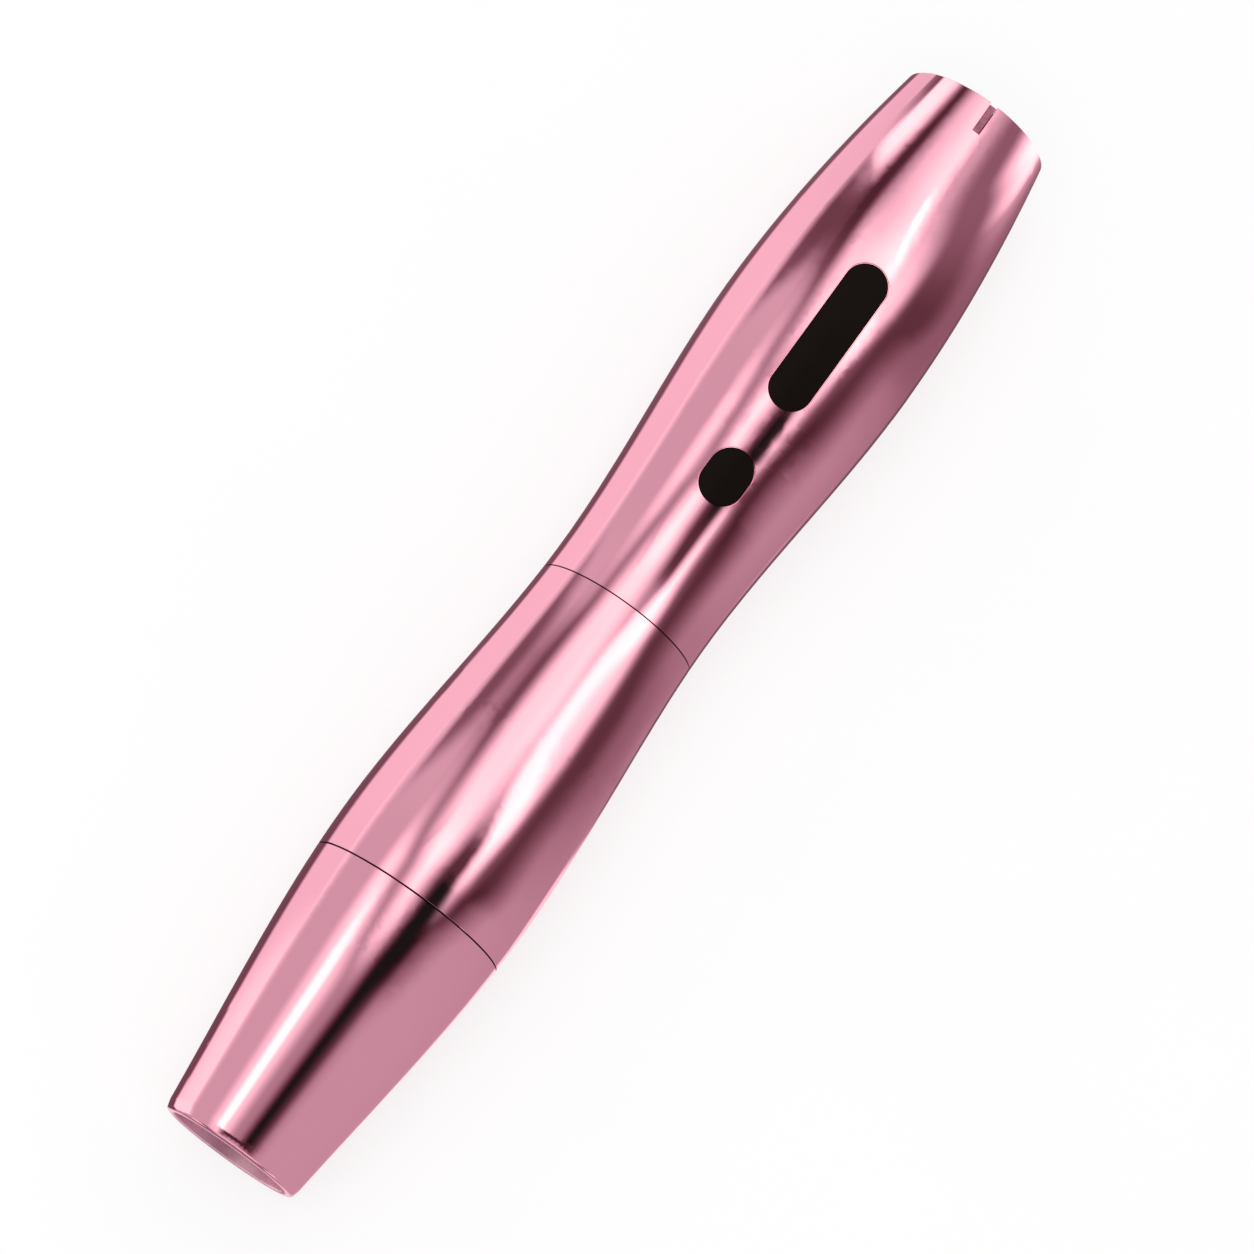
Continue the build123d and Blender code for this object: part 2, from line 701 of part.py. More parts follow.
# Tail shell with the openings of the display, the button and the battery key
notch_front = overall_length - notch_length
with BuildPart() as tail_shell:
    disc(rear_seam, overall_length, axis_height + overrun)
    add(outer_form, mode=Mode.INTERSECT)
    add(tail_hollow.part, mode=Mode.SUBTRACT)
    disc(rear_seam - overrun, sleeve_rear, sleeve_radius, Mode.SUBTRACT)
    disc(tube_seat - overrun, plug_seat, battery_tube_radius, Mode.SUBTRACT)
    disc(plug_seat, overall_length + overrun, plug_bore, Mode.SUBTRACT)
    break_corner(rear_seam, skin_radius(rear_seam))
    break_corner(overall_length, tail_radius)
    oblong(display_station, display_length, display_width, display_board_top, above_pen, Mode.SUBTRACT)
    oblong(button_station, button_length, button_width, main_board_top, above_pen, Mode.SUBTRACT)
    add(opening_rebates.part, mode=Mode.SUBTRACT)
    block(notch_front, overall_length + overrun, notch_width, tail_radius / 2, above_pen, Mode.SUBTRACT)
save(tail_shell.part, "tail_shell")

# Electronics carrier: the moulding that the main board and the battery contacts sit on
contact_places = (0, contact_offset)
screw_foot = main_board_height - board_screw_length
with BuildPart() as electronics_carrier:
    disc(sleeve_rear, carrier_rear, carrier_radius)
    disc(carrier_rear, boss_rear, battery_bore)
    disc(sleeve_rear - overrun, carrier_rear - carrier_block, carrier_bore, Mode.SUBTRACT)
    block(sleeve_rear - overrun, boss_rear + overrun, above_pen, main_board_height, above_pen, Mode.SUBTRACT)
    for place in contact_places:
        rod(sleeve_rear, place, 0, contact_pin_radius, boss_rear + overrun - sleeve_rear, Mode.SUBTRACT)
    with BuildSketch(deck(screw_foot)):
        with Locations((board_screw_station, 0)):
            with GridLocations(0, 2 * board_screw_offset, 1, 2):
                Circle(board_screw_radius)
    extrude(amount=above_pen, mode=Mode.SUBTRACT)
save(electronics_carrier.part, "electronics_carrier")

# Main board with the motor driver, under the button
with BuildPart() as main_board:
    block(board_front, boss_rear, main_board_width, main_board_height, main_board_top)
    with BuildSketch(deck(screw_foot)):
        with Locations((board_screw_station, 0)):
            with GridLocations(0, 2 * board_screw_offset, 1, 2):
                Circle(board_screw_radius)
    extrude(amount=above_pen, mode=Mode.SUBTRACT)
save(main_board.part, "main_board")

# Two screws that hold the main board to the carrier
with BuildPart() as board_screws:
    with BuildSketch(deck(screw_foot)):
        with Locations((board_screw_station, 0)):
            with GridLocations(0, 2 * board_screw_offset, 1, 2):
                Circle(board_screw_radius)
    extrude(amount=main_board_top - screw_foot)
    with BuildSketch(deck(main_board_top)):
        with Locations((board_screw_station, 0)):
            with GridLocations(0, 2 * board_screw_offset, 1, 2):
                Circle(board_screw_head_radius)
    extrude(amount=board_screw_head_height)
save(board_screws.part, "board_screws")

# Driver chip and capacitors on the main board
chip_station = board_front + chip_station_share * electronics_bay
chip_side = chip_side_share * electronics_bay
with BuildPart() as driver_chip:
    chip_front, chip_rear = chip_station - chip_side / 2, chip_station + chip_side / 2
    block(chip_front, chip_rear, chip_side, main_board_top, main_board_top + chip_height)
    chamfer(driver_chip.faces().sort_by(Axis.Z)[-1].edges(), chip_height / 5)
save(driver_chip.part, "driver_chip")

with BuildPart() as capacitors:
    with BuildSketch(deck(main_board_top)):
        with Locations((chip_station, 0)):
            with GridLocations(2 * chip_side / 3, chip_side + 3 * chip_height, 2, 2):
                Rectangle(chip_side / 2, chip_height)
    extrude(amount=chip_height)
save(capacitors.part, "capacitors")

# Power button: the cap with its lip under the shell
button_low = main_board_top + button_travel + 2 * running_gap
button_ceiling = button_crown - button_top
cap_width = button_width - 2 * button_gap
lip_half = cap_width / 2 + button_lip
lip_front_radius = skin_radius(button_station - button_width / 2) - shell_wall
lip_top = math.sqrt(lip_front_radius**2 - lip_half**2) - running_gap
switch_pocket = switch_side + button_lip
with BuildPart() as power_button:
    oblong(button_station, button_length - 2 * button_gap, cap_width, button_low, above_pen)
    add(outer_form, mode=Mode.INTERSECT)
    lip_front, lip_rear = button_station - button_width / 2, button_station + button_width / 2
    block(lip_front, lip_rear, 2 * lip_half, button_low, lip_top)
    pocket_front, pocket_rear = button_station - switch_pocket / 2, button_station + switch_pocket / 2
    block(pocket_front, pocket_rear, switch_pocket, button_low - overrun, button_ceiling, Mode.SUBTRACT)
save(power_button.part, "power_button")

# Tactile switch under the button
knob_top = button_ceiling - button_travel - running_gap
with BuildPart() as tactile_switch:
    switch_front, switch_rear = button_station - switch_side / 2, button_station + switch_side / 2
    block(switch_front, switch_rear, switch_side, main_board_top, main_board_top + switch_body)
    with BuildSketch(deck(main_board_top)):
        with Locations((button_station, 0)):
            Circle(switch_knob_radius)
    extrude(amount=knob_top - main_board_top)
save(tactile_switch.part, "tactile_switch")

# Battery tube with the platform of the display board
with BuildPart() as battery_tube:
    disc(carrier_rear, plug_seat, battery_tube_radius)
    disc(tube_seat - tube_flange_length, tube_seat, tube_flange_radius)
    block(display_board_front, display_board_rear, display_board_width, 0, display_board_low)
    disc(carrier_rear - overrun, plug_seat + overrun, battery_bore, Mode.SUBTRACT)
    notch_end = boss_rear + end_gap
    block(carrier_rear - overrun, notch_end, above_pen, main_board_height, above_pen, Mode.SUBTRACT)
save(battery_tube.part, "battery_tube")

# Display board on its platform
with BuildPart() as display_board:
    block(display_board_front, display_board_rear, display_board_width, display_board_low, display_board_top)
save(display_board.part, "display_board")

# Ribbon that joins the two boards
with BuildPart() as board_ribbon:
    low_end = main_board_top + ribbon_thickness
    high_end = display_board_top + ribbon_thickness
    with BuildSketch(side):
        with BuildLine():
            Polyline(
                (button_rear, main_board_top),
                (boss_rear, main_board_top),
                (display_board_front, display_board_top),
                (display_board_front + ribbon_lap, display_board_top),
                (display_board_front + ribbon_lap, high_end),
                (display_board_front, high_end),
                (boss_rear, low_end),
                (button_rear, low_end),
                close=True,
            )
        make_face()
    extrude(amount=ribbon_width / 2, both=True)
save(board_ribbon.part, "board_ribbon")

# Display: the holder in the shell's opening, the module in it and the flush window
with BuildPart() as display_holder:
    holder_length, holder_width = display_length - 2 * window_gap, display_width - 2 * window_gap
    oblong(display_station, holder_length, holder_width, display_board_top, window_low)
    pocket_low = window_low - module_thickness
    pocket_length, pocket_width = display_length - 2 * holder_rim, display_width - 2 * holder_rim
    oblong(display_station, pocket_length, pocket_width, pocket_low, window_low + overrun, Mode.SUBTRACT)
save(display_holder.part, "display_holder")

with BuildPart() as display_module:
    module_length, module_width = pocket_length - 2 * window_gap, pocket_width - 2 * window_gap
    oblong(display_station, module_length, module_width, pocket_low, window_low)
save(display_module.part, "display_module")

with BuildPart() as display_window:
    oblong(display_station, holder_length, holder_width, window_low, above_pen)
    add(outer_form, mode=Mode.INTERSECT)
save(display_window.part, "display_window")

# Two sprung battery contacts in the carrier
with BuildPart() as contact_pins:
    barrel_front = carrier_rear - carrier_block
    for place in contact_places:
        rod(barrel_front, place, 0, contact_pin_radius, boss_rear - barrel_front)
        rod(boss_rear, place, 0, contact_tip_radius, contact_reach - running_gap)
save(contact_pins.part, "contact_pins")

# Battery pack: contact disc, cell, sleeve, charging board, end plug with key, seal and port
cell_front = pack_front + contact_disc_thickness
cell_rear = plug_step - charging_bay
with BuildPart() as pack_contacts:
    disc(pack_front, cell_front, cell_radius)
    with BuildSketch(across(pack_front)):
        Circle(contact_offset - 2 * contact_tip_radius)
        Circle(contact_offset / 2 - contact_tip_radius, mode=Mode.SUBTRACT)
    extrude(amount=pack_gap, mode=Mode.SUBTRACT)
save(pack_contacts.part, "pack_contacts")

with BuildPart() as battery_cell:
    disc(cell_front, cell_front + nub_height, nub_radius)
    disc(cell_front + nub_height, cell_rear, cell_radius)
    fillet(battery_cell.edges().filter_by(GeomType.CIRCLE).group_by(SortBy.RADIUS)[-1], nub_height / 2)
save(battery_cell.part, "battery_cell")

with BuildPart() as pack_sleeve:
    disc(pack_front, plug_step, pack_radius)
    disc(pack_front - overrun, plug_step + overrun, cell_radius + running_gap, Mode.SUBTRACT)
save(pack_sleeve.part, "pack_sleeve")

charging_board_rear = cell_rear + charging_board_thickness
with BuildPart() as charging_board:
    disc(cell_rear, charging_board_rear, cell_radius)
save(charging_board.part, "charging_board")

seal_station = plug_step + plug_depth / 2
seal_centre = plug_radius - pack_ring_section / 2
with BuildPart() as pack_end_plug:
    disc(charging_board_rear + end_gap, plug_step, cell_radius + running_gap)
    disc(plug_step, plug_rear, plug_radius)
    chamfer(pack_end_plug.edges().filter_by(GeomType.CIRCLE).group_by(Axis.X)[-1], plug_chamfer)
    key_front, key_rear = notch_front + key_gap, overall_length - edge_break
    block(key_front, key_rear, notch_width - 2 * key_gap, battery_bore, plug_radius + key_height)
    with BuildSketch(side):
        with Locations((seal_station, seal_centre)):
            Rectangle(pack_ring_section + 2 * running_gap, pack_ring_section + running_gap)
    revolve(axis=pen_axis, mode=Mode.SUBTRACT)
    with BuildSketch(across(charging_board_rear)):
        SlotOverall(port_width, port_height)
    extrude(amount=overall_length - charging_board_rear, mode=Mode.SUBTRACT)
save(pack_end_plug.part, "pack_end_plug")

with BuildPart() as pack_seal:
    ring(seal_station, seal_centre, pack_ring_section / 2)
save(pack_seal.part, "pack_seal")

with BuildPart() as charging_port:
    with BuildSketch(across(charging_board_rear)):
        SlotOverall(port_width, port_height)
    extrude(amount=plug_rear - charging_board_rear)
    with BuildSketch(across(charging_board_rear + port_wall)):
        SlotOverall(port_width - 2 * port_wall, port_height - 2 * port_wall)
    extrude(amount=plug_rear - charging_board_rear, mode=Mode.SUBTRACT)
save(charging_port.part, "charging_port")

with BuildPart() as charging_tongue:
    with BuildSketch(across(charging_board_rear + port_wall)):
        Rectangle(port_tongue_width, port_tongue_height)
    extrude(amount=plug_rear - charging_board_rear - port_wall - port_tongue_set_back)
save(charging_tongue.part, "charging_tongue")
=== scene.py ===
import json
import math

import bpy
from mathutils import Matrix, Vector

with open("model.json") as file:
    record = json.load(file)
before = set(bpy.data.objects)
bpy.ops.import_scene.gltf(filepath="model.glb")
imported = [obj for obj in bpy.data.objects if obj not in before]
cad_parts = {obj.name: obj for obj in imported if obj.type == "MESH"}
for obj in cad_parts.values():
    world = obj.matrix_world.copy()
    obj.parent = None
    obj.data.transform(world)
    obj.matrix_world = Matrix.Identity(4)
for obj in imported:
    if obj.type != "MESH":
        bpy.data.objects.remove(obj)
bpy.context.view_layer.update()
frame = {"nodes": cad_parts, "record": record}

nodes = frame["nodes"]
record = frame["record"]
MM = 0.001


# Node helpers

def add(tree, kind, inputs=None, **settings):
    """A shader node with its settings, and its inputs linked to a socket or set to a value."""
    made = tree.nodes.new(kind)
    for name, value in settings.items():
        setattr(made, name, value)
    for name, value in (inputs or {}).items():
        if isinstance(value, bpy.types.NodeSocket):
            tree.links.new(value, made.inputs[name])
        else:
            made.inputs[name].default_value = value
    return made


def math_node(tree, operation, *values):
    made = add(tree, "ShaderNodeMath", dict(enumerate(values)), operation=operation)
    return made.outputs[0]


def blend_colour(tree, share, first, second, blend_type="MIX"):
    made = add(tree, "ShaderNodeMix", data_type="RGBA", blend_type=blend_type)
    sockets = [s for s in made.inputs if s.enabled]
    for socket, value in zip(sockets, (share, first, second)):
        if isinstance(value, bpy.types.NodeSocket):
            tree.links.new(value, socket)
        else:
            socket.default_value = value
    return [s for s in made.outputs if s.enabled][0]


def blend_value(tree, share, first, second, **settings):
    inputs = {"Factor": share, "A": first, "B": second}
    return add(tree, "ShaderNodeMix", inputs, data_type="FLOAT", **settings).outputs["Result"]


def spread(tree, value, low, high, start=0.0, end=1.0, soft=False):
    """Low at start and high at end, straight or soft between them, and level beyond them."""
    made = add(tree, "ShaderNodeMapRange", {"Value": value, "From Min": start, "From Max": end,
                                            "To Min": low, "To Max": high})
    made.interpolation_type = "SMOOTHSTEP" if soft else "LINEAR"
    return made.outputs[0]


# Materials: scales are in patches per millimetre

CLOUD_SCALE = 0.35
HAZE_SCALE = 1.6
ROUND_THE_PEN = (1.0, 0.02, 0.02)
NOISE_LOW, NOISE_HIGH = 0.3, 0.7
SMOOTHEST = 0.02
COAT_ROUGHNESS = 0.08

COPPER_UNDER_MASK = (0.05, 0.3, 0.13, 1.0)
TINNED_PAD = (0.72, 0.7, 0.66, 1.0)
TINNED_END = (0.66, 0.66, 0.67, 1.0)
COPPER_RUN = (0.62, 0.3, 0.12, 1.0)
SEGMENT_DEEP, SEGMENT_PALE = (0.015, 0.016, 0.02, 1.0), (0.02, 0.02, 0.026, 1.0)
SEGMENT_GAP = (0.008, 0.008, 0.01, 1.0)


def place(tree, stretch=(1.0, 1.0, 1.0)):
    """Millimetres in the object's own frame, stretched along each axis."""
    where = add(tree, "ShaderNodeTexCoord").outputs["Object"]
    sizes = [part / MM for part in stretch]
    return add(tree, "ShaderNodeMapping", {"Vector": where, "Scale": sizes}).outputs[0]


def noise(tree, vector, scale, detail=3.0, roughness=0.55):
    made = add(tree, "ShaderNodeTexNoise", {"Vector": vector, "Scale": scale, "Detail": detail,
                                            "Roughness": roughness})
    return made.outputs[0]


def surface(name, colour, metallic, rough, rough_spread, mottle, grain, bump, turned=False,
            specular=0.5, coat=0.0, edge=(1.0, 1.0, 1.0), pattern=None):
    """A procedural finish: mottled colour, uneven gloss and a fine relief, turned or grained."""
    material = bpy.data.materials.new(name)
    material.use_nodes = True
    tree = material.node_tree
    shader = tree.nodes["Principled BSDF"]
    shader.inputs["Metallic"].default_value = metallic
    shader.inputs["Specular IOR Level"].default_value = specular
    shader.inputs["Specular Tint"].default_value = (*edge, 1.0)
    shader.inputs["Coat Weight"].default_value = coat
    shader.inputs["Coat Roughness"].default_value = COAT_ROUGHNESS

    plain = place(tree)
    cloud = noise(tree, plain, CLOUD_SCALE)
    deep = [part * (1.0 - mottle) for part in colour] + [1.0]
    pale = [min(part * (1.0 + mottle), 1.0) for part in colour] + [1.0]
    base = blend_colour(tree, cloud, deep, pale)

    lines = place(tree, ROUND_THE_PEN) if turned else plain
    fine = noise(tree, lines, grain, 2.0)
    haze = noise(tree, plain, HAZE_SCALE, 4.0, 0.65)
    uneven = math_node(tree, "MULTIPLY", math_node(tree, "ADD", fine, haze), 0.5)
    smoothest = max(rough - rough_spread, SMOOTHEST)
    gloss = spread(tree, uneven, smoothest, rough + rough_spread, NOISE_LOW, NOISE_HIGH)
    height = fine
    if pattern:
        base, gloss, height = pattern(tree, plain, base, gloss, height)
    tree.links.new(base, shader.inputs["Base Color"])
    tree.links.new(gloss, shader.inputs["Roughness"])
    relief = add(tree, "ShaderNodeBump", {"Height": height, "Strength": 1.0, "Distance": bump * MM})
    tree.links.new(relief.outputs[0], shader.inputs["Normal"])
    return material


def board_pattern(tree, where, base, gloss, height):
    """Copper tracks under the mask, and tinned pads."""
    cells = add(tree, "ShaderNodeTexVoronoi", {"Vector": where, "Scale": 0.9, "Randomness": 0.55},
                distance="MANHATTAN", feature="F1")
    track = spread(tree, math_node(tree, "PINGPONG", cells.outputs["Distance"], 0.18), 1.0, 0.0,
                   0.02, 0.05)
    dots = add(tree, "ShaderNodeTexVoronoi", {"Vector": where, "Scale": 0.7, "Randomness": 0.8})
    pad = spread(tree, dots.outputs["Distance"], 1.0, 0.0, 0.2, 0.24)
    tracked = blend_colour(tree, math_node(tree, "MULTIPLY", track, 0.5), base, COPPER_UNDER_MASK)
    return blend_colour(tree, pad, tracked, TINNED_PAD), gloss, math_node(tree, "ADD", track, pad)


def winding_pattern(tree, where, base, gloss, height):
    """Turns of enamelled wire laid side by side, with painted shade in the grooves between them."""
    turns = add(tree, "ShaderNodeTexWave", {"Vector": where, "Scale": 0.9, "Distortion": 0.6,
                                            "Detail": 2.0}, wave_type="BANDS", bands_direction="DIAGONAL")
    # Painted shade: the colour darkens to 0.35 in the grooves between turns
    shade = spread(tree, turns.outputs["Fac"], 0.35, 1.0)
    return blend_colour(tree, 1.0, base, shade, "MULTIPLY"), gloss, turns.outputs["Fac"]


def film_pattern(tree, where, base, gloss, height):
    """Fine copper runs inside the film."""
    runs = add(tree, "ShaderNodeTexWave", {"Vector": where, "Scale": 0.8}, bands_direction="Y")
    line = spread(tree, runs.outputs["Fac"], 0.0, 0.7, 0.45, 0.6)
    return blend_colour(tree, line, base, COPPER_RUN), gloss, line


def glass_pattern(tree, where, base, gloss, height):
    """The dark segments of a display that is off, just seen through its glass."""
    grid = add(tree, "ShaderNodeTexBrick", {"Vector": where, "Scale": 1.2, "Mortar Size": 0.06,
                                            "Color1": SEGMENT_DEEP, "Color2": SEGMENT_PALE,
                                            "Mortar": SEGMENT_GAP})
    return grid.outputs["Color"], gloss, height


def end_cap_pattern(tree, where, base, gloss, height):
    """Tinned ends on fired ceramic."""
    bands = add(tree, "ShaderNodeTexWave", {"Vector": where, "Scale": 0.25}, bands_direction="X")
    tin = spread(tree, bands.outputs["Fac"], 0.0, 1.0, 0.6, 0.66)
    return blend_colour(tree, tin, base, TINNED_END), gloss, tin


def ends(name):
    """First and last station of a node along the pen, in millimetres."""
    stations = [corner[0] / MM for corner in nodes[name].bound_box]
    return min(stations), max(stations)


# Where the skin changes, in millimetres: the axis over the floor, the stations of the two seams and
# how far from them the painted shade is full and gone, and the radii where the bore of the mouth starts
# and ends, inside which the colour is paled as painted light
AXIS_HEIGHT = 12.15
SEAMS = ((ends("nose_grip")[1] + ends("middle_shell")[0]) / 2, ends("tail_shell")[0])
SEAM_DARK, SEAM_CLEAR = 0.06, 0.1
BORE, BORE_CLEAR = 7.5, 7.6
# Painted shade: the dark colour laid in the seams' grooves
SEAM_PAINTED_SHADE = (0.05, 0.012, 0.02, 1.0)
# Painted light: the bore's colours, paler than the skin to stand in for light inside the mouth
BORE_PAINTED_LIGHT_DEEP, BORE_PAINTED_LIGHT_PALE = (1.0, 0.58, 0.71, 1.0), (1.0, 0.66, 0.79, 1.0)


def skin_pattern(tree, where, base, gloss, height):
    """Polished skin with painted shade in the seams, and the mouth's bore left satin and paled as painted
    light.
    """
    parts = add(tree, "ShaderNodeSeparateXYZ", {0: where}).outputs
    # Painted shade: the colour is darkened in each seam's groove
    for station in SEAMS:
        away = math_node(tree, "ABSOLUTE", math_node(tree, "SUBTRACT", parts[0], station))
        base = blend_colour(tree, spread(tree, away, 1.0, 0.0, SEAM_DARK, SEAM_CLEAR), base, SEAM_PAINTED_SHADE)
    low = math_node(tree, "SUBTRACT", parts[2], AXIS_HEIGHT)
    out = math_node(tree, "SQRT", math_node(tree, "ADD", math_node(tree, "MULTIPLY", parts[1], parts[1]),
                                            math_node(tree, "MULTIPLY", low, low)))
    inside = spread(tree, out, 1.0, 0.0, BORE, BORE_CLEAR)
    dull = spread(tree, noise(tree, where, 3.0), 0.38, 0.5)
    # Painted light: the bore's colour is paled to stand in for light inside the mouth
    pale = blend_colour(tree, noise(tree, where, 2.0), BORE_PAINTED_LIGHT_DEEP, BORE_PAINTED_LIGHT_PALE)
    return blend_colour(tree, inside, base, pale), blend_value(tree, inside, gloss, dull), height


# Finishes: colour, metallic, roughness and its spread, mottle, grain and bump in millimetres
ROSE = (0.92, 0.412, 0.527)
ROSE_EDGE = (0.97, 0.78, 0.84)
finishes = {
    "pink_metal": surface("pink_metal", ROSE, 1.0, 0.045, 0.012, 0.012, 3.0, 0.0001, turned=True,
                          edge=ROSE_EDGE, pattern=skin_pattern),
    "plug_metal": surface("plug_metal", (0.35, 0.135, 0.205), 1.0, 0.4, 0.1, 0.3, 2.2, 0.012),
    "gloss_black": surface("gloss_black", (0.0078, 0.0046, 0.0042), 0.0, 0.3, 0.05, 0.12, 4.0, 0.0002,
                           specular=0.03),
    "bare_aluminium": surface("bare_aluminium", (0.78, 0.78, 0.8), 1.0, 0.28, 0.06, 0.03, 8.0, 0.004,
                              turned=True),
    "bright_steel": surface("bright_steel", (0.66, 0.66, 0.68), 1.0, 0.2, 0.06, 0.03, 9.0, 0.003,
                            turned=True),
    "brass": surface("brass", (0.78, 0.56, 0.25), 1.0, 0.24, 0.06, 0.05, 8.0, 0.003, turned=True),
    "copper_winding": surface("copper_winding", (0.72, 0.34, 0.18), 1.0, 0.32, 0.06, 0.08, 4.0, 0.05,
                              pattern=winding_pattern),
    "dark_magnet": surface("dark_magnet", (0.22, 0.21, 0.2), 1.0, 0.3, 0.07, 0.05, 5.0, 0.003),
    "black_plastic": surface("black_plastic", (0.022, 0.022, 0.023), 0.0, 0.48, 0.08, 0.12, 7.0, 0.012),
    "green_board": surface("green_board", (0.018, 0.17, 0.07), 0.0, 0.33, 0.06, 0.08, 5.0, 0.02,
                           pattern=board_pattern),
    "tan_ceramic": surface("tan_ceramic", (0.5, 0.36, 0.23), 0.0, 0.45, 0.08, 0.08, 8.0, 0.008,
                           pattern=end_cap_pattern),
    "amber_film": surface("amber_film", (0.55, 0.23, 0.03), 0.0, 0.22, 0.05, 0.06, 3.0, 0.01,
                          coat=0.3, pattern=film_pattern),
    "display_glass": surface("display_glass", (0.015, 0.015, 0.02), 0.0, 0.12, 0.03, 0.1, 3.0, 0.001,
                             coat=0.4, pattern=glass_pattern),
    "cell_wrap": surface("cell_wrap", (0.05, 0.16, 0.42), 0.0, 0.3, 0.08, 0.06, 1.2, 0.02, coat=0.3),
    "sleeve_wrap": surface("sleeve_wrap", (0.03, 0.03, 0.032), 0.0, 0.42, 0.06, 0.1, 5.0, 0.006),
    "black_rubber": surface("black_rubber", (0.018, 0.018, 0.018), 0.0, 0.62, 0.08, 0.15, 9.0, 0.012),
}

for part in record["subparts"]:
    slot = part["material_slot"]
    mesh = nodes[part["node"]].data
    if not mesh.materials:
        mesh.materials.append(finishes[slot])
    for index in range(len(mesh.materials)):
        mesh.materials[index] = finishes[slot]


# Studio: soft panels and dark flags that the polished metal mirrors

LOW, HIGH = -60.0, 60.0
BRIGHTEST = 3.0
EVERYWHERE = 400.0
FRONT = [(-42, 1.0), (-34, 0.0)]

